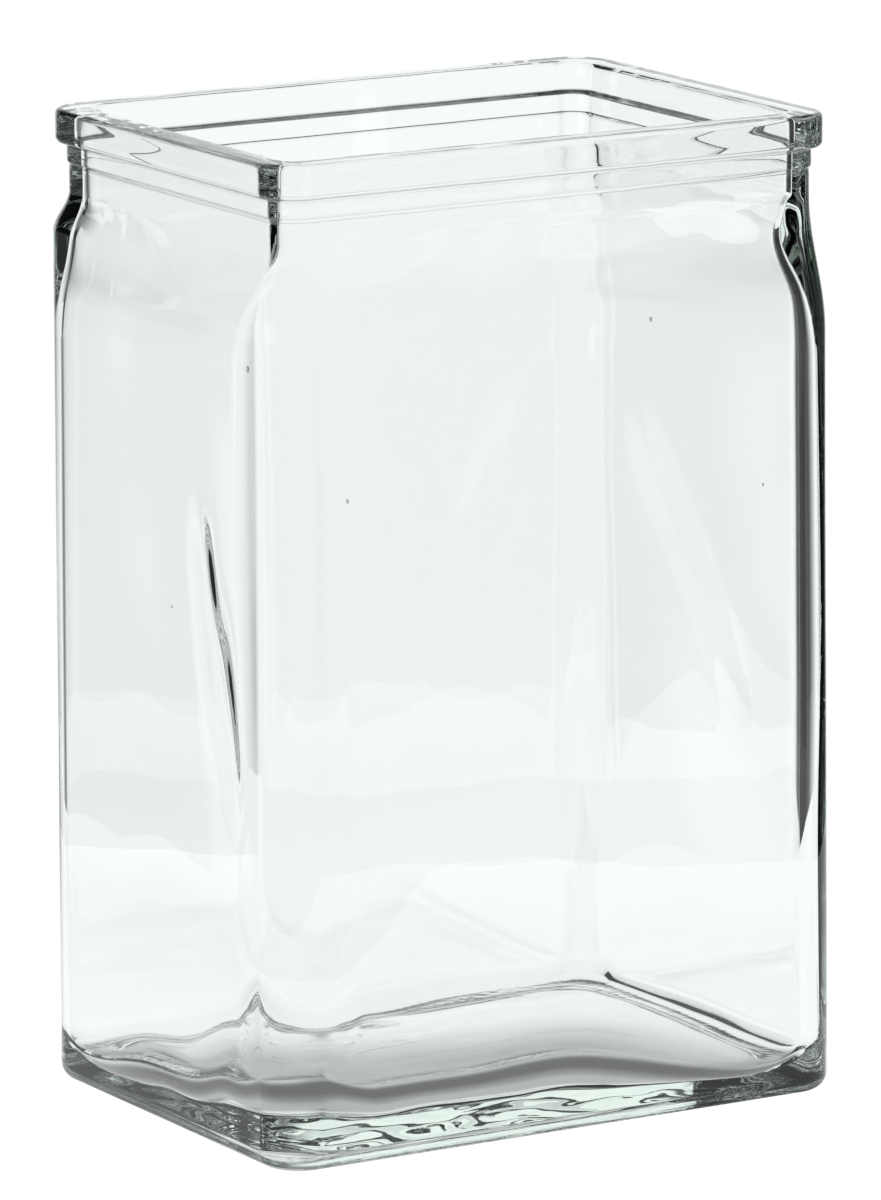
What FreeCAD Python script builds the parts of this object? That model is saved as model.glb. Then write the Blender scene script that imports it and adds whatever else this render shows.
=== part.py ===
"""Rectangular specimen jar: one moulded piece of thick clear glass, open at the top.

Millimetres, with +Z up. The origin is the centre of the foot ring, on the surface that the jar
stands on. The wide walls face -Y and +Y.
"""
import FreeCAD, Part
import math
import os

import Sketcher

PIECE = "glass_jar"
SHOULDER_STEPS = 6
HEIGHT_TOLERANCE = 1e-4

SIZES = (
    ("jar_height", 240.0, "foot ring to rim face"),
    ("body_width", 156.0, "outside, across X, under the shoulder"),
    ("body_depth", 116.0, "outside, across Y, under the shoulder"),
    ("body_corner", 11.0, "outside radius of the upright corners"),
    ("base_flare", 0.6, "how far each wall leans out from the shoulder down to the base"),
    ("wall_thickness", 4.0, "body walls"),
    ("cavity_corner", 13.0, "inside radius of the upright corners under the shoulder"),
    ("floor_corner", 26.0, "inside radius of the upright corners at the floor"),
    ("floor_thickness", 5.5, "foot ring to the inside floor"),
    ("floor_blend", 17.0, "inside radius between walls and floor"),
    ("heel_radius", 4.0, "outside radius between walls and foot ring"),
    ("foot_ring_width", 10.0, "body wall to the edge of the push-up"),
    ("push_up_height", 1.8, "hollow under the base"),
    ("push_up_lean", 5.0, "how far the side of the push-up leans in"),
    ("push_up_blend", 1.5, "radius round the top of the push-up"),
    ("foot_ring_blend", 1.0, "radius between foot ring and push-up"),
    ("shoulder_height", 24.0, "the S-curve between body and neck"),
    ("neck_inset", 4.0, "outside of the body wall to outside of the neck wall"),
    ("neck_height", 20.0, "top of the shoulder to the rim face"),
    ("neck_wall", 5.0, "neck wall"),
    ("mouth_corner", 8.0, "inside radius of the upright corners of the neck"),
    ("neck_band_height", 4.8, "moulded band under the flange"),
    ("neck_band_step", 0.5, "how far that band stands out from the neck"),
    ("neck_band_edge", 0.3, "rounded lower edge of that band"),
    ("flange_height", 8.4, "rim face to the underside of the flange"),
    ("flange_setback", 0.8, "outside of the body wall to the edge of the flange"),
    ("flange_edge", 1.4, "rounded outer edges of the flange"),
    ("flange_root", 1.0, "hollow corner between flange and neck band"),
    ("mouth_edge", 1.8, "rounded inner edge of the rim"),
)

RIM_LEVEL = "sizes.jar_height"
FLANGE_LEVEL = f"({RIM_LEVEL} - sizes.flange_height)"
BAND_LEVEL = f"({FLANGE_LEVEL} - sizes.neck_band_height)"
NECK_LEVEL = f"({RIM_LEVEL} - sizes.neck_height)"
SHOULDER_LEVEL = f"({NECK_LEVEL} - sizes.shoulder_height)"
BAND_INSET = "(sizes.neck_inset - sizes.neck_band_step)"
MOUTH_INSET = "(sizes.neck_inset + sizes.neck_wall)"


def make_sheet(doc):
    """Write the driving dimensions into the spreadsheet, one named cell each."""
    sheet = doc.addObject("Spreadsheet::Sheet", "sizes")
    for row, (alias, value, meaning) in enumerate(SIZES, start=1):
        sheet.set(f"A{row}", meaning)
        sheet.set(f"B{row}", str(value))
        sheet.setAlias(f"B{row}", alias)
    doc.recompute()
    return sheet


def draw_rounded_rectangle(sketch, width, depth, corner):
    """Draw four walls and four corner arcs round the sketch origin, walls even, arcs odd."""
    point = FreeCAD.Vector
    half_x = width / 2
    half_y = depth / 2
    in_x = half_x - corner
    in_y = half_y - corner
    walls = (
        (point(-in_x, -half_y), point(in_x, -half_y)),
        (point(half_x, -in_y), point(half_x, in_y)),
        (point(in_x, half_y), point(-in_x, half_y)),
        (point(-half_x, in_y), point(-half_x, -in_y)),
    )
    centres = (point(in_x, -in_y), point(in_x, in_y), point(-in_x, in_y), point(-in_x, -in_y))
    quarter_turn = math.pi / 2
    for side in range(4):
        circle = Part.Circle(centres[side], point(0, 0, 1), corner)
        start = (side - 1) * quarter_turn
        sketch.addGeometry(Part.LineSegment(*walls[side]))
        sketch.addGeometry(Part.ArcOfCircle(circle, start, start + quarter_turn))


def tie_rounded_rectangle(sketch, width, depth, corner):
    """Join walls and arcs smoothly, leaving only width, depth and corner free, and name those."""
    rule = Sketcher.Constraint
    start, end, centre = 1, 2, 3
    front, right, back, left = 0, 2, 4, 6
    first_arc, opposite_arc = 1, 5
    sketch_origin = (-1, 1)
    for wall in (front, right, back, left):
        arc = wall + 1
        next_wall = (wall + 2) % 8
        sketch.addConstraint(rule("Tangent", wall, end, arc, start))
        sketch.addConstraint(rule("Tangent", arc, end, next_wall, start))
    for arc in (3, 5, 7):
        sketch.addConstraint(rule("Equal", first_arc, arc))
    for wall in (front, back):
        sketch.addConstraint(rule("Horizontal", wall))
    for wall in (right, left):
        sketch.addConstraint(rule("Vertical", wall))
    sketch.addConstraint(rule("Symmetric", first_arc, centre, opposite_arc, centre, *sketch_origin))
    spans = (
        ("width", rule("DistanceX", left, start, right, start, width)),
        ("depth", rule("DistanceY", front, start, back, start, depth)),
        ("corner", rule("Radius", first_arc, corner)),
    )
    for name, constraint in spans:
        sketch.renameConstraint(sketch.addConstraint(constraint), name)


def section(body, sheet, name, inset, corner, level):
    """Sketch the outline that lies inset from the body walls, at a level above the foot ring."""
    sketch = body.newObject("Sketcher::SketchObject", name)
    planes = body.Origin.OriginFeatures
    level_plane = next(plane for plane in planes if plane.Role == "XY_Plane")
    sketch.AttachmentSupport = [(level_plane, "")]
    sketch.MapMode = "FlatFace"
    nominal = (sheet.body_width, sheet.body_depth, sheet.body_corner)
    draw_rounded_rectangle(sketch, *nominal)
    tie_rounded_rectangle(sketch, *nominal)
    sketch.setExpression("Constraints.width", f"sizes.body_width - 2 * {inset}")
    sketch.setExpression("Constraints.depth", f"sizes.body_depth - 2 * {inset}")
    sketch.setExpression("Constraints.corner", corner)
    sketch.setExpression("AttachmentOffset.Base.z", level)
    return sketch


def loft(body, kind, name, sections):
    """Join the sections, lowest first, with an additive or a subtractive loft."""
    feature = body.newObject(f"PartDesign::{kind}Loft", name)
    feature.Profile = sections[0]
    feature.Sections = sections[1:]
    return feature


def band(body, sheet, name, inset, corner, level, length):
    """Pad an upright band of the neck or the rim upward from its level."""
    outline = section(body, sheet, f"{name}_outline", inset, corner, level)
    pad = body.newObject("PartDesign::Pad", name)
    pad.Profile = outline
    pad.setExpression("Length", length)
    return pad


def shoulder_sections(body, sheet, name, wall_inset, rise, wall_corner, corner_change):
    """Sketch the outlines up an S-curve that starts and ends upright."""
    outlines = []
    for step in range(SHOULDER_STEPS + 1):
        up = step / SHOULDER_STEPS
        inward = up * up * (3 - 2 * up)
        outlines.append(section(
            body, sheet, f"{name}_outline_{step}",
            inset=f"({wall_inset} + {rise} * {inward})",
            corner=f"{wall_corner} + {corner_change} * {inward}",
            level=f"{SHOULDER_LEVEL} + sizes.shoulder_height * {up}",
        ))
    return outlines


def make_outside(body, sheet):
    """Build the solid outside: walls, S-shaped shoulder, neck, neck band and rim flange."""
    foot = section(body, sheet, "foot_outline", "(-1 * sizes.base_flare)", "sizes.body_corner", "0 mm")
    top = section(body, sheet, "wall_top_outline", "0", "sizes.body_corner", SHOULDER_LEVEL)
    loft(body, "Additive", "walls", [foot, top])
    outlines = shoulder_sections(
        body, sheet, "shoulder",
        wall_inset="0", rise="sizes.neck_inset",
        wall_corner="sizes.body_corner", corner_change="-1 * sizes.neck_inset",
    )
    loft(body, "Additive", "shoulder", outlines)
    band(
        body, sheet, "neck", "sizes.neck_inset", "sizes.body_corner - sizes.neck_inset",
        NECK_LEVEL, "sizes.neck_height - sizes.flange_height",
    )
    band(
        body, sheet, "neck_band", BAND_INSET, f"sizes.body_corner - {BAND_INSET}",
        BAND_LEVEL, "sizes.neck_band_height",
    )
    band(
        body, sheet, "flange", "sizes.flange_setback", "sizes.body_corner - sizes.flange_setback",
        FLANGE_LEVEL, "sizes.flange_height",
    )


def make_cavity(body, sheet):
    """Hollow out the jar: body cavity, inside of the shoulder and mouth."""
    floor = section(
        body, sheet, "floor_outline", "(sizes.wall_thickness - sizes.base_flare)",
        "sizes.floor_corner", "sizes.floor_thickness",
    )
    top = section(
        body, sheet, "cavity_top_outline", "sizes.wall_thickness",
        "sizes.cavity_corner", SHOULDER_LEVEL,
    )
    loft(body, "Subtractive", "cavity", [floor, top])
    outlines = shoulder_sections(
        body, sheet, "cavity_shoulder",
        wall_inset="sizes.wall_thickness", rise=f"({MOUTH_INSET} - sizes.wall_thickness)",
        wall_corner="sizes.cavity_corner", corner_change="(sizes.mouth_corner - sizes.cavity_corner)",
    )
    loft(body, "Subtractive", "cavity_shoulder", outlines)
    outline = section(body, sheet, "mouth_outline", MOUTH_INSET, "sizes.mouth_corner", RIM_LEVEL)
    mouth = body.newObject("PartDesign::Pocket", "mouth")
    mouth.Profile = outline
    mouth.Reversed = False
    mouth.setExpression("Length", "sizes.neck_height")


def make_push_up(body, sheet):
    """Hollow the underside, so that the jar stands on a ring."""
    edge_inset = "(sizes.foot_ring_width - sizes.base_flare)"
    top_inset = f"({edge_inset} + sizes.push_up_lean)"
    edge = section(body, sheet, "push_up_edge_outline", edge_inset, "sizes.body_corner", "0 mm")
    top = section(body, sheet, "push_up_top_outline", top_inset, "sizes.body_corner", "sizes.push_up_height")
    loft(body, "Subtractive", "push_up", [edge, top])


def level_face(feature, level):
    """Return the flat horizontal face at a level."""
    for face in feature.Shape.Faces:
        box = face.BoundBox
        if box.ZLength < HEIGHT_TOLERANCE and abs(box.ZMin - level) < HEIGHT_TOLERANCE:
            return face
    raise ValueError(f"{feature.Label} has no flat face at {level}")


def loop_edge_names(feature, level, outer):
    """Name the edges of the outer or the inner loop of the flat face at a level."""
    face = level_face(feature, level)
    outer_wire = face.OuterWire
    names = []
    for wire in face.Wires:
        if wire.isSame(outer_wire) != outer:
            continue
        for edge in wire.Edges:
            number = next(i for i, other in enumerate(feature.Shape.Edges, 1) if other.isSame(edge))
            names.append(f"Edge{number}")
    return names


def round_loop(doc, body, name, radius, level, outer):
    """Round one loop of edges of the flat face at a level."""
    doc.recompute()
    base = body.Tip
    fillet = body.newObject("PartDesign::Fillet", name)
    fillet.Base = (base, loop_edge_names(base, level, outer))
    fillet.setExpression("Radius", radius)
    return fillet


def round_edges(doc, body, sheet):
    """Round the rim, the neck band, the heel, the push-up and the inside floor."""
    rim = sheet.jar_height
    under_flange = rim - sheet.flange_height
    under_band = under_flange - sheet.neck_band_height
    loops = (
        ("floor_blend", "sizes.floor_blend", sheet.floor_thickness, True),
        ("heel", "sizes.heel_radius", 0.0, True),
        ("push_up_blend", "sizes.push_up_blend", sheet.push_up_height, True),
        ("foot_ring_blend", "sizes.foot_ring_blend", 0.0, False),
        ("rim_top_edge", "sizes.flange_edge", rim, True),
        ("mouth_edge", "sizes.mouth_edge", rim, False),
        ("rim_lower_edge", "sizes.flange_edge", under_flange, True),
        ("flange_root", "sizes.flange_root", under_flange, False),
        ("neck_band_edge", "sizes.neck_band_edge", under_band, True),
    )
    for name, radius, level, outer in loops:
        round_loop(doc, body, name, radius, level, outer)


def check_document(doc, body, solid_volume):
    """Stop unless every feature worked and the hollows took glass away."""
    for item in doc.Objects:
        if "Invalid" in item.State or "Error" in item.State:
            raise ValueError(f"{item.Label} failed: {item.State}")
    shape = body.Shape
    if shape.isNull() or not shape.isValid() or len(shape.Solids) != 1:
        raise ValueError(f"{body.Label} is not one valid solid")
    if shape.Volume > solid_volume / 2:
        raise ValueError("the cavity took too little glass away")


def make_jar(doc):
    """Build the whole jar in one body and return it with the volume it had before hollowing."""
    sheet = make_sheet(doc)
    body = doc.addObject("PartDesign::Body", PIECE)
    body.Label = PIECE
    body.Placement = FreeCAD.Placement()
    make_outside(body, sheet)
    doc.recompute()
    solid_volume = body.Shape.Volume
    make_cavity(body, sheet)
    make_push_up(body, sheet)
    round_edges(doc, body, sheet)
    doc.recompute()
    return body, solid_volume


document = FreeCAD.newDocument("specimen_jar")
jar, volume_before_hollowing = make_jar(document)
check_document(document, jar, volume_before_hollowing)
os.makedirs("parts", exist_ok=True)
jar.Shape.exportStep(f"parts/{PIECE}.step")
print(f"{PIECE}: {jar.Shape.Volume / 1000:.1f} cm3 of glass, {len(jar.Shape.Faces)} faces")
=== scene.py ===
"""A tall rectangular jar of thick clear moulded glass, open at the top, in a white studio."""

import math

import bpy
import numpy as np
from mathutils import Matrix, Vector


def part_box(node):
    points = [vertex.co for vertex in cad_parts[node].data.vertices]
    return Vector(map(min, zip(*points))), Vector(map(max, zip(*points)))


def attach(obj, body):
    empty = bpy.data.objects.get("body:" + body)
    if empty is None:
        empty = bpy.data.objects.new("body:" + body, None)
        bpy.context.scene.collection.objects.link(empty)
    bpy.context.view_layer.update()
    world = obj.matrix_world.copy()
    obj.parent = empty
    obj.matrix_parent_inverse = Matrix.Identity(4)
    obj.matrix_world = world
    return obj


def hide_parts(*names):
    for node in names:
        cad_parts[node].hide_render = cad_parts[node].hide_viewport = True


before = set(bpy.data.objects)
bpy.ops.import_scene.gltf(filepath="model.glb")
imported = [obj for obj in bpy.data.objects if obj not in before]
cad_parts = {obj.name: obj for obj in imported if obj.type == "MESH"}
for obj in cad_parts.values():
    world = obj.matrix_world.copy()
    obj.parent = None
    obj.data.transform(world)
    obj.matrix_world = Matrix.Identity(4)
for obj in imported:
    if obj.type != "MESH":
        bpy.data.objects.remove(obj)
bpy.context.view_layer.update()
MM = 0.001

# ------------------------------------------------------------------------------------------------
# Sizes of the jar in metres. The height comes from the frame, the rest repeats the CAD part's sheet.
# ------------------------------------------------------------------------------------------------
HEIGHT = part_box("glass_jar")[1][2]
HALF_X = 78 * MM
HALF_Y = 58 * MM
BASE_FLARE = 0.6 * MM
BODY_CORNER = 11 * MM
HEEL = 4 * MM
FOOT_RING = 10 * MM
PUSH_UP = 1.8 * MM
PUSH_UP_LEAN = 5 * MM
FLOOR = 5.5 * MM
NECK_INSET = 4 * MM
NECK = 20 * MM
NECK_WALL = 5 * MM
BAND = 4.8 * MM
BAND_STEP = 0.5 * MM
FLANGE = 8.4 * MM
FLANGE_SETBACK = 0.8 * MM
FLANGE_EDGE = 1.4 * MM
FLANGE_ROOT = 1.0 * MM
MOUTH_EDGE = 1.8 * MM

NECK_LEVEL = HEIGHT - NECK
BAND_LEVEL = HEIGHT - FLANGE - BAND
MOUTH_INSET = NECK_INSET + NECK_WALL

# The glass is uneven from corner to corner, where the CAD part has one middle value. The order of
# the upright corners is front right, back right, back left, front left.
SHOULDER_AT = (33 * MM, 24 * MM, 10 * MM, 22 * MM)
WALL_AT = (4.0 * MM, 3.5 * MM, 3.0 * MM, 3.6 * MM)
CAVITY_CORNER_AT = (10 * MM, 9 * MM, 8 * MM, 20 * MM)
MOUTH_CORNER_AT = (3.5 * MM, 8 * MM, 7 * MM, 3.5 * MM)
INNER_SHOULDER_AT = (40 * MM, 36 * MM, 36 * MM, 28 * MM)

# Under the neck the glass swells into the jar. The swelling has a height and a level at each corner.
BULGE_AT = (3 * MM, 1 * MM, 0 * MM, 0 * MM)
BULGE_LEVEL_AT = (209 * MM, 212 * MM, 214 * MM, 212 * MM)
BULGE_REACH = 9 * MM

# Length of the curve from the wall to the floor, at the middle of each side (front, right, back,
# left) and at each corner.
BOWL_SIDES = (54 * MM, 11 * MM, 19 * MM, 32 * MM)
BOWL_AT = (13 * MM, 9 * MM, 12 * MM, 52 * MM)
FLOOR_CORNER = 20 * MM

# ------------------------------------------------------------------------------------------------
# Mesh steps: points along each side and round each corner of one ring, then rings per stretch.
# ------------------------------------------------------------------------------------------------
WIDE_STEPS = 84
NARROW_STEPS = 60
CORNER_STEPS = 32

PUSH_UP_RINGS = 22
LEAN_RINGS = 8
FOOT_RINGS = 5
HEEL_RINGS = 8
WALL_RINGS = 56
SHOULDER_RINGS = 24
NECK_RINGS = 4
BAND_EDGE_RINGS = 3
BAND_RINGS = 4
ROOT_RINGS = 4
LEDGE_RINGS = 2
EDGE_RINGS = 6
FACE_RINGS = 5
MOUTH_RINGS = 8
INNER_SHOULDER_RINGS = 30
INNER_WALL_RINGS = 40
BOWL_RINGS = 34
FLOOR_RINGS = 14
CURVE_SAMPLES = 1000

# ------------------------------------------------------------------------------------------------
# Unevenness of the moulded surfaces.
# ------------------------------------------------------------------------------------------------
# Zone, height, seed, shortest and longest wave, number of waves, stretch along x, y and z.
WAVES = (
    ("inside", 0.32 * MM, 3, (50 * MM, 140 * MM), 14, (1, 1, 1.6)),
    ("inside", 0.09 * MM, 4, (26 * MM, 60 * MM), 18, (1, 1, 1.7)),
    ("inner shoulder", 0.28 * MM, 9, (11 * MM, 18 * MM), 10, (7, 7, 1)),
    ("neck", 0.035 * MM, 15, (8 * MM, 18 * MM), 20, (1.5, 1.5, 1)),
    ("inside", 0.03 * MM, 5, (18 * MM, 35 * MM), 16, (1, 1, 1.8)),
    ("outer wall", 0.05 * MM, 7, (30 * MM, 90 * MM), 14, (1, 1, 1.5)),
    ("floor", 0.22 * MM, 11, (16 * MM, 45 * MM), 16, (1, 1, 1)),
    ("underside", 0.03 * MM, 13, (9 * MM, 20 * MM), 20, (1, 1, 1)),
)

# Ridges on the inside of the left and right walls, in millimetres: height, middle, half its run as a
# step in x, y and z, half width, and how far off the wall it still acts.
FLOW_LINES = (
    (1.5, (-74, -22.8, 126), (0, 4, 24), 4.1, 12),
    (1.5, (-74, -31.2, 105), (0, 4, 25), 4.5, 12),
    (1.6, (-74, -52, 115), (0, 2, 60), 16, 30),
    (0.9, (74, 6, 121), (0, 26, 34), 6, 12),
)

# Air bubbles inside the walls, in millimetres: middle and radius. They are drawn out upwards.
BUBBLES = (
    ((-76.2, -43.5, 191), 0.50),
    ((-58.7, -56.2, 160), 0.32),
    ((24.6, -56.2, 195), 0.36),
    ((-76.2, -6.0, 128), 0.26),
    ((56.0, -56.2, 152), 0.24),
)
BUBBLE_STRETCH = 1.6
BUBBLE_STEPS = 12
BUBBLE_LEVELS = 7

# Levels between which the waves of a zone fade in or out, from none to full.
OUTER_FADE_IN = (6 * MM, 20 * MM)
OUTER_FADE_OUT = (NECK_LEVEL, NECK_LEVEL + 6 * MM)
SHOULDER_FADE_IN = (178 * MM, 200 * MM)
SHOULDER_FADE_OUT = (NECK_LEVEL, NECK_LEVEL + 12 * MM)
NECK_FADE_IN = (200 * MM, 214 * MM)
NECK_CORNER_FADE = (-0.97, -0.85)

# Rings over which the inside, the floor and the underside fade in or out.
INSIDE_FADE_RINGS = 24
FLOOR_FADE_RINGS = (6, 28)
UNDERSIDE_FADE_RINGS = (2, 8)

# ------------------------------------------------------------------------------------------------
# Glass, stage, light and camera.
# ------------------------------------------------------------------------------------------------
GLASS_IOR = 1.52
GLASS_ABSORPTION = (0.80, 0.92, 0.84, 1)
GLASS_DENSITY = 6.5
STIPPLE_LEVELS = (0.9 * MM, 1.5 * MM)
STIPPLE_SCALE = 420.0
STIPPLE_DEPTH = 0.25 * MM

WHITE = (1, 1, 1, 1)
STAGE_RADIUS = 0.34
STAGE_LEVEL = -0.2 * MM
STAGE_SIDES = 96
STAGE_TINT = (0.966, 0.996, 0.986, 1)
STAGE_TO_CAMERA = 1.04
# Painted shadow under the jar: ambient occlusion within this reach, darker towards the front left of the
# jar.
CONTACT_REACH = 3.4 * MM
CONTACT_FULL = 0.9
UNDER_DIRECTION = (0.51, 0.86, 0)
UNDER_PLACES = (-30 * MM, 45 * MM)
UNDER_LEVELS = (0.14, 0.95)
# Painted shade: the floor's glow dims in front and on the left, as rays from the glass see it.
DIM_PLACES = (-260 * MM, -90 * MM)
DIM_LEVELS = (0.5, 1.0)

SKY_TINT = (0.964, 0.994, 0.995, 1)
SKY_TO_CAMERA = 1.02
SKY_DARK = 0.04
# Lit parts of the dark surroundings, in degrees: azimuth from the back towards the right, half width,
# soft edge, lowest and highest elevation, soft edge; then brightness.
LIT_PARTS = (
    (27, 12, 34, -42, -2, 72, 1.05),
    (-46, 7, 6, -50, -4, 14, 1.0),
    (-28, 10, 8, -18, -6, 8, 0.25),
    (135, 7, 5, -40, -6, 26, 1.0),
    (-90, 12, 8, -7.2, 9, 1.5, 1.0),
    (0, 6, 2.5, -7.2, 9, 2.5, 1.0),
    (30, 180, 12, 55, 90, 12, 0.12),
)

AZIMUTH = 30.58
ELEVATION = 11.78
ROLL = -0.33
DISTANCE = 2.299
LENS = 190.23
SENSOR = 24.0
FAR_CLIP = 100
BOUNCES = 32
GLOSSY_BOUNCES = 16


# ------------------------------------------------------------------------------------------------
# Rounded rectangles
# ------------------------------------------------------------------------------------------------
def smooth(values):
    """Turn shares from 0 to 1 into a smooth step."""
    return values * values * (3 - 2 * values)


def ease(values, low, high):
    """Return 0 below low, 1 above high and a smooth step between."""
    return smooth(np.clip((values - low) / (high - low), 0, 1))


def make_loop():
    """Return corner-centre shares and outward normals for the points of one rounded rectangle."""
    places = []
    normals = []
    corners = ((1, -1), (1, 1), (-1, 1), (-1, -1))
    for side in range(4):
        start = corners[side - 1]
        end = corners[side]
        steps = WIDE_STEPS if side % 2 == 0 else NARROW_STEPS
        facing = math.radians(90 * side - 90)
        for step in range(steps):
            along = step / steps
            places.append([start[k] + (end[k] - start[k]) * along for k in range(2)])
            normals.append([math.cos(facing), math.sin(facing)])
        for step in range(CORNER_STEPS):
            turn = facing + math.radians(90) * step / CORNER_STEPS
            places.append(list(end))
            normals.append([math.cos(turn), math.sin(turn)])
    return np.array(places), np.array(normals)


SHARES, NORMALS = make_loop()
LOOP = len(SHARES)


def from_corners(values):
    """Blend four corner values round the loop."""
    right = smooth((1 + SHARES[:, 0]) / 2)
    back = smooth((1 + SHARES[:, 1]) / 2)
    front_right, back_right, back_left, front_left = values
    front = front_right * right + front_left * (1 - right)
    rear = back_right * right + back_left * (1 - right)
    return front * (1 - back) + rear * back


def from_sides(sides, corners):
    """Blend the values of the four sides and of the four corners round the loop."""
    at_x_end = np.abs(SHARES[:, 0]) >= 1
    at_y_end = np.abs(SHARES[:, 1]) >= 1
    front, right, back, left = sides
    along_x = np.where(SHARES[:, 1] < 0, front, back)
    along_y = np.where(SHARES[:, 0] > 0, right, left)
    side = np.where(at_y_end, along_x, along_y)
    reach = np.minimum(np.abs(SHARES[:, 0]), np.abs(SHARES[:, 1]))
    cornered = smooth(np.where(at_x_end & at_y_end, 1.0, reach))
    return side * (1 - cornered) + from_corners(corners) * cornered


SHOULDER = from_corners(SHOULDER_AT)
SHOULDER_LEVEL = NECK_LEVEL - SHOULDER
WALL = from_corners(WALL_AT)
CAVITY_CORNER = from_corners(CAVITY_CORNER_AT)
MOUTH_CORNER = from_corners(MOUTH_CORNER_AT)
INNER_SHOULDER = from_corners(INNER_SHOULDER_AT)
BULGE = from_corners(BULGE_AT)
BULGE_LEVEL = from_corners(BULGE_LEVEL_AT)
BOWL = from_sides(BOWL_SIDES, BOWL_AT)


def ring(inset, corner, level):
    """Return the points of one loop, inset from the body wall, with its corner radius and level."""
    corner = np.broadcast_to(corner, LOOP)
    x = SHARES[:, 0] * (HALF_X - inset - corner) + NORMALS[:, 0] * corner
    y = SHARES[:, 1] * (HALF_Y - inset - corner) + NORMALS[:, 1] * corner
    return np.column_stack([x, y, np.broadcast_to(level, LOOP)])


def steps_to_one(count):
    """Return evenly spaced shares above 0, up to 1."""
    return np.linspace(0, 1, count + 1)[1:]


def quarter(count):
    """Return evenly spaced angles above 0, up to a quarter turn."""
    return steps_to_one(count) * math.pi / 2


# ------------------------------------------------------------------------------------------------
# Outline of the glass, from the middle of the underside round to the middle of the inside floor
# ------------------------------------------------------------------------------------------------
def underside_rings():
    """From the centre of the push-up out over the foot ring and up round the heel."""
    edge = FOOT_RING - BASE_FLARE
    top = edge + PUSH_UP_LEAN
    heel = HEEL - BASE_FLARE
    rings = []
    for t in steps_to_one(PUSH_UP_RINGS):
        flat = ring(top, BODY_CORNER, PUSH_UP)
        flat[:, :2] *= t
        rings.append(flat)
    for t in steps_to_one(LEAN_RINGS):
        rings.append(ring(top + (edge - top) * t, BODY_CORNER, PUSH_UP * (1 - smooth(t))))
    for t in steps_to_one(FOOT_RINGS):
        rings.append(ring(edge + (heel - edge) * t, BODY_CORNER - HEEL * t, 0.0))
    for angle in quarter(HEEL_RINGS):
        corner = BODY_CORNER - HEEL * (1 - math.sin(angle))
        rings.append(ring(heel - HEEL * math.sin(angle), corner, HEEL * (1 - math.cos(angle))))
    return rings


def outer_wall_rings():
    """Up the body wall, over the shoulder and up the lower neck."""
    rings = []
    for t in steps_to_one(WALL_RINGS):
        rings.append(ring(-BASE_FLARE * (1 - t), BODY_CORNER, HEEL + (SHOULDER_LEVEL - HEEL) * t))
    for t in steps_to_one(SHOULDER_RINGS):
        inset = NECK_INSET * smooth(t)
        rings.append(ring(inset, BODY_CORNER - inset, SHOULDER_LEVEL + SHOULDER * t))
    for t in steps_to_one(NECK_RINGS):
        level = NECK_LEVEL + (BAND_LEVEL - NECK_LEVEL) * t
        rings.append(ring(NECK_INSET, BODY_CORNER - NECK_INSET, level))
    return rings


def straight(start, end, count):
    """Return places on a straight line, each an inset and a level, without its start."""
    return [
        (start[0] + (end[0] - start[0]) * t, start[1] + (end[1] - start[1]) * t)
        for t in steps_to_one(count)
    ]


def rim_rings():
    """Out over the neck band, round the flange, across the rim face and into the mouth."""
    step = BAND_STEP
    root = FLANGE_ROOT
    edge = FLANGE_EDGE
    lip = MOUTH_EDGE
    out = FLANGE_SETBACK
    band = NECK_INSET - step
    under = HEIGHT - FLANGE
    path = [
        (NECK_INSET - step * math.sin(a), BAND_LEVEL + step * (1 - math.cos(a)))
        for a in quarter(BAND_EDGE_RINGS)
    ]
    path += straight((band, BAND_LEVEL + step), (band, under - root), BAND_RINGS)
    path += [
        (band - root * (1 - math.cos(a)), under - root + root * math.sin(a)) for a in quarter(ROOT_RINGS)
    ]
    path += straight((band - root, under), (out + edge, under), LEDGE_RINGS)
    path += [
        (out + edge * (1 - math.sin(a)), under + edge * (1 - math.cos(a))) for a in quarter(EDGE_RINGS)
    ]
    path += straight((out, under + edge), (out, HEIGHT - edge), FACE_RINGS)
    path += [
        (out + edge * (1 - math.cos(a)), HEIGHT - edge + edge * math.sin(a)) for a in quarter(EDGE_RINGS)
    ]
    path += straight((out + edge, HEIGHT), (MOUTH_INSET - lip, HEIGHT), FACE_RINGS)
    path += [
        (MOUTH_INSET - lip + lip * math.sin(a), HEIGHT - lip * (1 - math.cos(a)))
        for a in quarter(EDGE_RINGS)
    ]
    path += straight((MOUTH_INSET, HEIGHT - lip), (MOUTH_INSET, NECK_LEVEL), MOUTH_RINGS)
    rings = []
    outer_corner = BODY_CORNER - out
    for inset, level in path:
        if level <= under and inset < MOUTH_INSET:
            corner = BODY_CORNER - inset
        else:
            share = (inset - out) / (MOUTH_INSET - out)
            corner = outer_corner + (MOUTH_CORNER - outer_corner) * share
        rings.append(ring(inset, corner, level))
    return rings


def bulge(level):
    """Return how far the glass swells into the jar at a level, where neck and shoulder meet."""
    return BULGE * np.exp(-(((level - BULGE_LEVEL) / BULGE_REACH) ** 2))


def bowl_curve(count):
    """Return how far in and how far down a curve has gone that turns gently from wall to floor."""
    fine = np.linspace(0, 1, CURVE_SAMPLES + 1)
    turn = smooth(fine) * math.pi / 2
    across = np.sin(turn)
    down = np.cos(turn)
    inward = np.concatenate([[0], np.cumsum((across[1:] + across[:-1]) / 2)]) / CURVE_SAMPLES
    fallen = np.concatenate([[0], np.cumsum((down[1:] + down[:-1]) / 2)]) / CURVE_SAMPLES
    places = steps_to_one(count)
    return np.interp(places, fine, inward), np.interp(places, fine, fallen)


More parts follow.
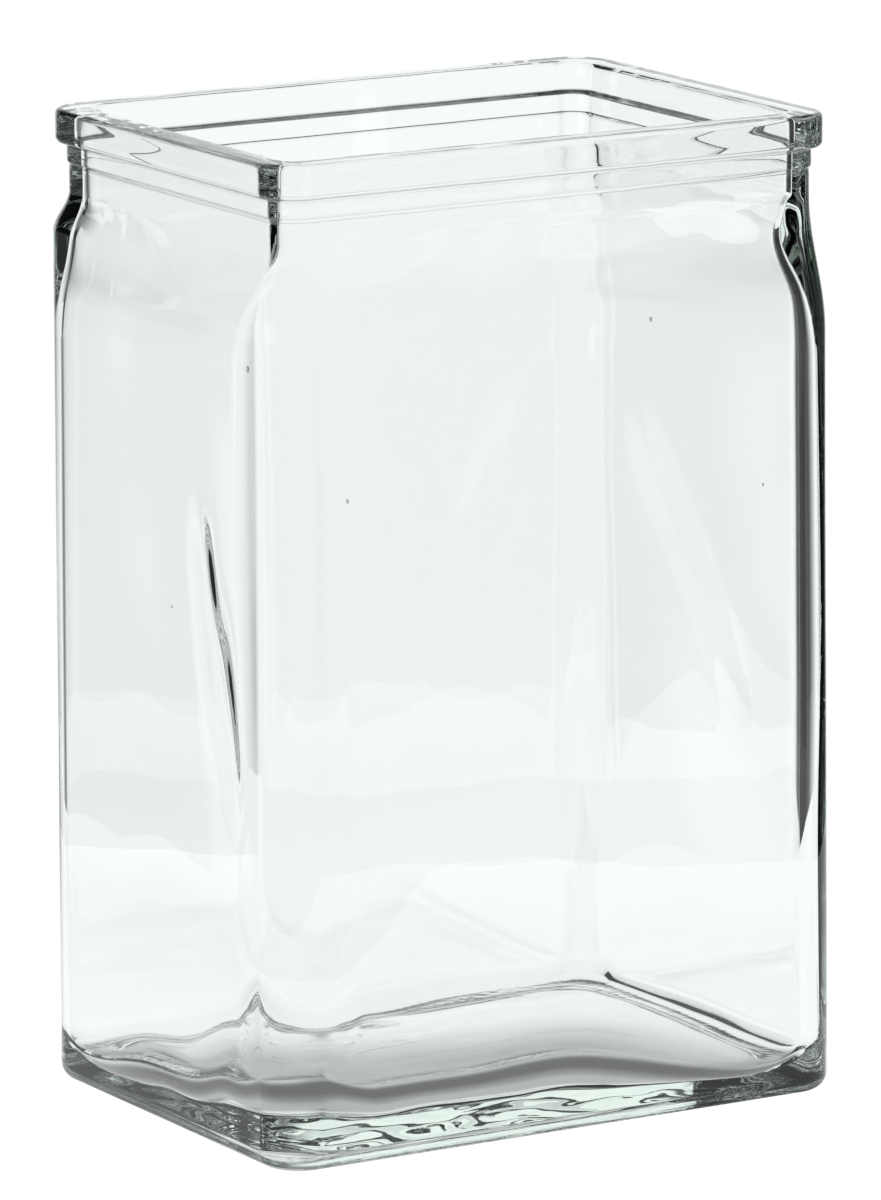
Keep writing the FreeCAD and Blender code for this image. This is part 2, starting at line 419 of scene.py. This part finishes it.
def cavity_rings():
    """Down the inside of the shoulder and the body wall, then round and over the bowl of the floor."""
    rings = []
    for t in steps_to_one(INNER_SHOULDER_RINGS):
        share = smooth(t)
        level = NECK_LEVEL - INNER_SHOULDER * t
        inset = MOUTH_INSET + (WALL - MOUTH_INSET) * share + bulge(level)
        rings.append(ring(inset, MOUTH_CORNER + (CAVITY_CORNER - MOUTH_CORNER) * share, level))
    inward, fallen = bowl_curve(BOWL_RINGS)
    bowl_top = FLOOR + fallen[-1] * BOWL
    wall_top = NECK_LEVEL - INNER_SHOULDER
    for t in steps_to_one(INNER_WALL_RINGS):
        level = wall_top + (bowl_top - wall_top) * t
        rings.append(ring(WALL - BASE_FLARE * t + bulge(level), CAVITY_CORNER, level))
    inset = WALL - BASE_FLARE
    for t, across, down in zip(steps_to_one(BOWL_RINGS), inward, fallen):
        corner = CAVITY_CORNER + (FLOOR_CORNER - CAVITY_CORNER) * smooth(t)
        rings.append(ring(inset + across * BOWL, corner, bowl_top - down * BOWL))
    for t in 1 - steps_to_one(FLOOR_RINGS)[:-1]:
        flat = ring(inset + inward[-1] * BOWL, FLOOR_CORNER, FLOOR)
        flat[:, :2] *= t
        rings.append(flat)
    return rings


# ------------------------------------------------------------------------------------------------
# Waves, flow lines and bubbles
# ------------------------------------------------------------------------------------------------
def grid_normals(grid):
    """Return unit normals of a grid of rings, pointing out of the glass."""
    round_step = np.roll(grid, -1, axis=1) - np.roll(grid, 1, axis=1)
    ring_step = np.gradient(grid, axis=0)
    normals = np.cross(round_step, ring_step)
    length = np.linalg.norm(normals, axis=2, keepdims=True)
    return normals / np.maximum(length, 1e-12)


def ripple(grid, seed, lengths, count, stretch):
    """Return a smooth random height from -1 to 1 or so, as a sum of plane waves in space."""
    rng = np.random.default_rng(seed)
    total = np.zeros(grid.shape[:2])
    for _ in range(count):
        direction = rng.normal(size=3)
        direction /= np.linalg.norm(direction)
        length = rng.uniform(*lengths)
        wave = direction * 2 * math.pi / length / np.array(stretch)
        total += np.sin(grid @ wave + rng.uniform(0, 2 * math.pi))
    return total / math.sqrt(count)


def ridge(grid, middle, along, width, reach):
    """Return a smooth ridge from 0 to 1, running both ways from its middle, on a left or right wall."""
    offset = grid - np.array(middle) * MM
    along = np.array(along) * MM
    length = np.linalg.norm(along)
    direction = along / length
    outward = np.array((1.0, 0.0, 0.0))
    across = np.cross(direction, outward)
    run = np.exp(-((offset @ direction / length) ** 4))
    side = np.exp(-((offset @ across / (width * MM)) ** 2))
    depth = np.exp(-((offset @ outward / (reach * MM)) ** 4))
    return run * side * depth


def wave_zones(grid, counts):
    """Return how strongly each zone of the glass is waved, from 0 to 1, at each point of the grid."""
    number = np.arange(len(grid))[:, None] * np.ones((1, LOOP))
    level = grid[:, :, 2]
    wall_start = counts[0]
    wall_end = wall_start + counts[1]
    inside_start = sum(counts[:3])
    bowl_start = inside_start + INNER_SHOULDER_RINGS + INNER_WALL_RINGS
    inside = ease(number, inside_start, inside_start + INSIDE_FADE_RINGS)
    shoulder = ease(level, *SHOULDER_FADE_IN) * (1 - ease(level, *SHOULDER_FADE_OUT))
    off_corner = ease(-np.abs(SHARES).min(axis=1), *NECK_CORNER_FADE)
    outer = ((number >= wall_start) & (number < wall_end)) * 1.0
    upright = ease(level, *OUTER_FADE_IN) * (1 - ease(level, *OUTER_FADE_OUT))
    floor_start, floor_full = FLOOR_FADE_RINGS
    under_full, under_end = UNDERSIDE_FADE_RINGS
    return {
        "inside": inside,
        "inner shoulder": inside * shoulder,
        "neck": ease(level, *NECK_FADE_IN) * (1 - inside) * off_corner,
        "outer wall": outer * upright,
        "floor": ease(number, bowl_start + floor_start, bowl_start + floor_full),
        "underside": 1 - ease(number, PUSH_UP_RINGS + under_full, PUSH_UP_RINGS + under_end),
    }


def add_bubble(points, faces, middle, radius):
    """Add a small drawn-out air bubble to the points and faces, facing out of the glass around it."""
    centre = np.array(middle) * MM
    radius = radius * MM
    first = len(points)
    for level in range(1, BUBBLE_LEVELS):
        down = math.pi * level / BUBBLE_LEVELS
        for step in range(BUBBLE_STEPS):
            turn = 2 * math.pi * step / BUBBLE_STEPS
            points.append([
                centre[0] + radius * math.sin(down) * math.cos(turn),
                centre[1] + radius * math.sin(down) * math.sin(turn),
                centre[2] + BUBBLE_STRETCH * radius * math.cos(down),
            ])
    top = len(points)
    bottom = top + 1
    points.append([centre[0], centre[1], centre[2] + BUBBLE_STRETCH * radius])
    points.append([centre[0], centre[1], centre[2] - BUBBLE_STRETCH * radius])
    last = first + (BUBBLE_LEVELS - 2) * BUBBLE_STEPS
    for step in range(BUBBLE_STEPS):
        after = (step + 1) % BUBBLE_STEPS
        faces.append([top, first + after, first + step])
        faces.append([bottom, last + step, last + after])
        for level in range(BUBBLE_LEVELS - 2):
            upper = first + level * BUBBLE_STEPS
            lower = upper + BUBBLE_STEPS
            faces.append([upper + step, upper + after, lower + after, lower + step])


# ------------------------------------------------------------------------------------------------
# Jar
# ------------------------------------------------------------------------------------------------
def add_object(name, points, faces):
    """Make a mesh object in the scene and return it."""
    mesh = bpy.data.meshes.new(name)
    mesh.from_pydata(points, [], faces)
    mesh.update()
    thing = bpy.data.objects.new(name, mesh)
    bpy.context.collection.objects.link(thing)
    return thing


def ring_faces(count):
    """Return the quads between neighbouring rings and the triangles onto the two end points."""
    index = np.arange(LOOP)
    following = (index + 1) % LOOP
    faces = []
    for number in range(count - 1):
        below = number * LOOP
        above = below + LOOP
        quads = (below + index, below + following, above + following, above + index)
        faces += np.column_stack(quads).tolist()
    last = (count - 1) * LOOP
    start = count * LOOP
    end = start + 1
    faces += [[start, j, i] for i, j in zip(index.tolist(), following.tolist())]
    faces += [[end, last + i, last + j] for i, j in zip(index.tolist(), following.tolist())]
    return faces


def make_jar():
    """Make the glass as one closed skin with its waves and flow lines, and the bubbles inside it."""
    stretches = [underside_rings(), outer_wall_rings(), rim_rings(), cavity_rings()]
    grid = np.array(sum(stretches, []))
    zones = wave_zones(grid, [len(rings) for rings in stretches])
    height = np.zeros(grid.shape[:2])
    for zone, size, seed, lengths, count, stretch in WAVES:
        height += zones[zone] * size * ripple(grid, seed, lengths, count, stretch)
    for size, middle, along, width, reach in FLOW_LINES:
        height += zones["inside"] * size * MM * ridge(grid, middle, along, width, reach)
    grid = grid + grid_normals(grid) * height[:, :, None]
    # No wave may sink below the foot ring or rise above the rim face.
    grid[:, :, 2] = np.clip(grid[:, :, 2], 0, HEIGHT)
    ends = np.array([(0, 0, PUSH_UP), grid[-1].mean(axis=0)])
    points = np.concatenate([grid.reshape(-1, 3), ends]).tolist()
    faces = ring_faces(len(grid))
    for middle, radius in BUBBLES:
        add_bubble(points, faces, middle, radius)
    made = add_object("jar", points, faces)
    made.data.shade_smooth()
    return made


# ------------------------------------------------------------------------------------------------
# Nodes and materials
# ------------------------------------------------------------------------------------------------
def add_node(tree, kind, inputs=None, **fields):
    """Add a node, set its fields and then its input values, and return it."""
    node = tree.nodes.new(kind)
    for name, value in fields.items():
        setattr(node, name, value)
    for name, value in (inputs or {}).items():
        node.inputs[name].default_value = value
    return node


def maths(tree, operation, *values):
    """Add one math node on numbers or other outputs, and return its output."""
    node = add_node(tree, "ShaderNodeMath", operation=operation)
    for slot, value in enumerate(values):
        if isinstance(value, (int, float)):
            node.inputs[slot].default_value = value
        else:
            tree.links.new(value, node.inputs[slot])
    return node.outputs[0]


def map_range(tree, value, places, levels, kind="SMOOTHSTEP"):
    """Return a level that goes from the first to the second as the value passes between two places."""
    node = add_node(tree, "ShaderNodeMapRange", {
        "From Min": places[0],
        "From Max": places[1],
        "To Min": levels[0],
        "To Max": levels[1],
    }, interpolation_type=kind)
    tree.links.new(value, node.inputs["Value"])
    return node.outputs["Result"]


def glass_material():
    """Clear, very faintly green glass, with a stippled bearing surface on the foot ring."""
    material = bpy.data.materials.new("clear_glass")
    material.use_nodes = True
    tree = material.node_tree
    links = tree.links
    shader = tree.nodes["Principled BSDF"]
    shader.inputs["Base Color"].default_value = WHITE
    shader.inputs["Roughness"].default_value = 0.0
    shader.inputs["IOR"].default_value = GLASS_IOR
    shader.inputs["Transmission Weight"].default_value = 1.0
    place = add_node(tree, "ShaderNodeNewGeometry").outputs["Position"]
    split = add_node(tree, "ShaderNodeSeparateXYZ")
    links.new(place, split.inputs[0])
    grain = add_node(tree, "ShaderNodeTexNoise", {"Scale": STIPPLE_SCALE, "Detail": 2.0})
    links.new(place, grain.inputs["Vector"])
    bump = add_node(tree, "ShaderNodeBump", {"Distance": STIPPLE_DEPTH})
    strength = map_range(tree, split.outputs["Z"], STIPPLE_LEVELS, (1.0, 0.0), "LINEAR")
    links.new(strength, bump.inputs["Strength"])
    links.new(grain.outputs["Fac"], bump.inputs["Height"])
    links.new(bump.outputs["Normal"], shader.inputs["Normal"])
    volume = add_node(tree, "ShaderNodeVolumeAbsorption", {
        "Color": GLASS_ABSORPTION,
        "Density": GLASS_DENSITY,
    })
    links.new(volume.outputs["Volume"], tree.nodes["Material Output"].inputs["Volume"])
    return material


def painted_contact_shadow(tree, place):
    """Return the brightness of the stage near the jar, a painted shadow: low where the jar stands, and
    full in the open.
    """
    # The painted shadow under the jar is darker towards its front left, along this direction.
    along = add_node(tree, "ShaderNodeVectorMath", operation="DOT_PRODUCT")
    along.inputs[1].default_value = UNDER_DIRECTION
    tree.links.new(place, along.inputs[0])
    under = map_range(tree, along.outputs["Value"], UNDER_PLACES, UNDER_LEVELS)
    # Ambient occlusion lowers the glow under and round the foot ring: a painted contact shadow.
    near = add_node(tree, "ShaderNodeAmbientOcclusion", {"Distance": CONTACT_REACH}, samples=8)
    shade = add_node(tree, "ShaderNodeMapRange", {"From Max": CONTACT_FULL, "To Max": 1.0})
    tree.links.new(under, shade.inputs["To Min"])
    tree.links.new(near.outputs["AO"], shade.inputs["Value"])
    return shade.outputs["Result"]


def painted_stage_shade(tree, place):
    """Return the brightness of the open stage, a painted shade: lower in front and on the left, full at
    its far edge.
    """
    split = add_node(tree, "ShaderNodeSeparateXYZ")
    tree.links.new(place, split.inputs[0])
    nearer = maths(tree, "MINIMUM", split.outputs["X"], split.outputs["Y"])
    dim = map_range(tree, nearer, DIM_PLACES, DIM_LEVELS)
    away = add_node(tree, "ShaderNodeVectorMath", operation="LENGTH")
    tree.links.new(place, away.inputs[0])
    rise = map_range(tree, away.outputs["Value"], (0.5 * STAGE_RADIUS, STAGE_RADIUS), (0.0, 1.0))
    return maths(tree, "MAXIMUM", dim, rise)


def stage_material():
    """White straight to the camera. Rays from the glass see it with painted shadow and painted shade, and
    very slightly tinted.
    """
    material = bpy.data.materials.new("floor")
    material.use_nodes = True
    tree = material.node_tree
    links = tree.links
    tree.nodes.clear()
    place = add_node(tree, "ShaderNodeNewGeometry").outputs["Position"]
    to_camera = add_node(tree, "ShaderNodeLightPath").outputs["Is Camera Ray"]
    # The glow that rays from the glass see carries the painted shade and the painted shadow.
    shade = maths(tree, "MULTIPLY", painted_stage_shade(tree, place), painted_contact_shadow(tree, place))
    seen = add_node(tree, "ShaderNodeMix", {"B": STAGE_TO_CAMERA})
    links.new(to_camera, seen.inputs["Factor"])
    links.new(shade, seen.inputs["A"])
    tint = add_node(tree, "ShaderNodeMix", {"A": STAGE_TINT, "B": WHITE}, data_type="RGBA")
    links.new(to_camera, tint.inputs["Factor"])
    glow = add_node(tree, "ShaderNodeEmission")
    links.new(seen.outputs["Result"], glow.inputs["Strength"])
    links.new(tint.outputs["Result"], glow.inputs["Color"])
    out = add_node(tree, "ShaderNodeOutputMaterial")
    links.new(glow.outputs[0], out.inputs["Surface"])
    return material


# ------------------------------------------------------------------------------------------------
# Stage, light and camera
# ------------------------------------------------------------------------------------------------
def make_stage():
    """Lay a round white floor just under the jar."""
    turns = [2 * math.pi * step / STAGE_SIDES for step in range(STAGE_SIDES)]
    points = [(STAGE_RADIUS * math.cos(a), STAGE_RADIUS * math.sin(a), STAGE_LEVEL) for a in turns]
    floor = add_object("floor", points, [list(range(STAGE_SIDES))])
    floor.data.materials.append(stage_material())


def lit_part(tree, azimuth, elevation, part):
    """Return the brightness that one lit part gives in a direction."""
    centre, half, soft, low, high, soft_up, level = part
    turned = maths(tree, "SUBTRACT", azimuth, float(centre))
    away = maths(tree, "ABSOLUTE", maths(tree, "WRAP", turned, 180.0, -180.0))
    across = map_range(tree, away, (half, half + soft), (1, 0))
    off = maths(tree, "ABSOLUTE", maths(tree, "SUBTRACT", elevation, (low + high) / 2))
    reach = (high - low) / 2
    upright = map_range(tree, off, (reach, reach + soft_up), (1, 0))
    return maths(tree, "MULTIPLY", maths(tree, "MULTIPLY", across, upright), level)


def make_world():
    """Surround the jar with lit parts in the dark, which the camera itself sees as plain white."""
    world = bpy.data.worlds.new("studio")
    bpy.context.scene.world = world
    world.use_nodes = True
    tree = world.node_tree
    links = tree.links
    tree.nodes.clear()
    direction = add_node(tree, "ShaderNodeSeparateXYZ")
    links.new(add_node(tree, "ShaderNodeTexCoord").outputs["Generated"], direction.inputs[0])
    x, y, z = direction.outputs
    azimuth = maths(tree, "DEGREES", maths(tree, "ARCTAN2", x, y))
    elevation = maths(tree, "DEGREES", maths(tree, "ARCSINE", z))
    total = SKY_DARK
    for part in LIT_PARTS:
        total = maths(tree, "MAXIMUM", lit_part(tree, azimuth, elevation, part), total)
    bright = add_node(tree, "ShaderNodeBackground", {"Color": SKY_TINT})
    links.new(total, bright.inputs["Strength"])
    white = add_node(tree, "ShaderNodeBackground", {"Color": WHITE, "Strength": SKY_TO_CAMERA})
    mix = add_node(tree, "ShaderNodeMixShader")
    links.new(add_node(tree, "ShaderNodeLightPath").outputs["Is Camera Ray"], mix.inputs["Fac"])
    links.new(bright.outputs[0], mix.inputs[1])
    links.new(white.outputs[0], mix.inputs[2])
    links.new(mix.outputs[0], add_node(tree, "ShaderNodeOutputWorld").inputs["Surface"])


def make_camera():
    """Look at the middle of the jar from in front of the front left corner, slightly from above."""
    data = bpy.data.cameras.new("camera")
    data.sensor_fit = "VERTICAL"
    data.sensor_height = SENSOR
    data.lens = LENS
    data.clip_end = FAR_CLIP
    camera = bpy.data.objects.new("camera", data)
    bpy.context.collection.objects.link(camera)
    turn, tilt, roll = (math.radians(angle) for angle in (AZIMUTH, ELEVATION, ROLL))
    back = Vector((-math.sin(turn) * math.cos(tilt), -math.cos(turn) * math.cos(tilt), math.sin(tilt)))
    right = Vector((math.cos(turn), -math.sin(turn), 0))
    up = back.cross(right)
    x = right * math.cos(roll) + up * math.sin(roll)
    y = up * math.cos(roll) - right * math.sin(roll)
    place = Vector((0, 0, HEIGHT / 2)) + back * DISTANCE
    camera.matrix_world = Matrix((
        (x.x, y.x, back.x, place.x),
        (x.y, y.y, back.y, place.y),
        (x.z, y.z, back.z, place.z),
        (0, 0, 0, 1),
    ))
    bpy.context.scene.camera = camera


def set_look():
    """Keep whites white, and let light pass through as many glass surfaces as the jar has."""
    scene = bpy.context.scene
    scene.view_settings.view_transform = "Standard"
    scene.cycles.max_bounces = BOUNCES
    scene.cycles.transmission_bounces = BOUNCES
    scene.cycles.glossy_bounces = GLOSSY_BOUNCES
    scene.cycles.caustics_refractive = True
    scene.cycles.caustics_reflective = True


make_camera()
jar = make_jar()
jar.data.materials.append(glass_material())
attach(jar, "root")
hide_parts("glass_jar")
make_stage()
make_world()
set_look()
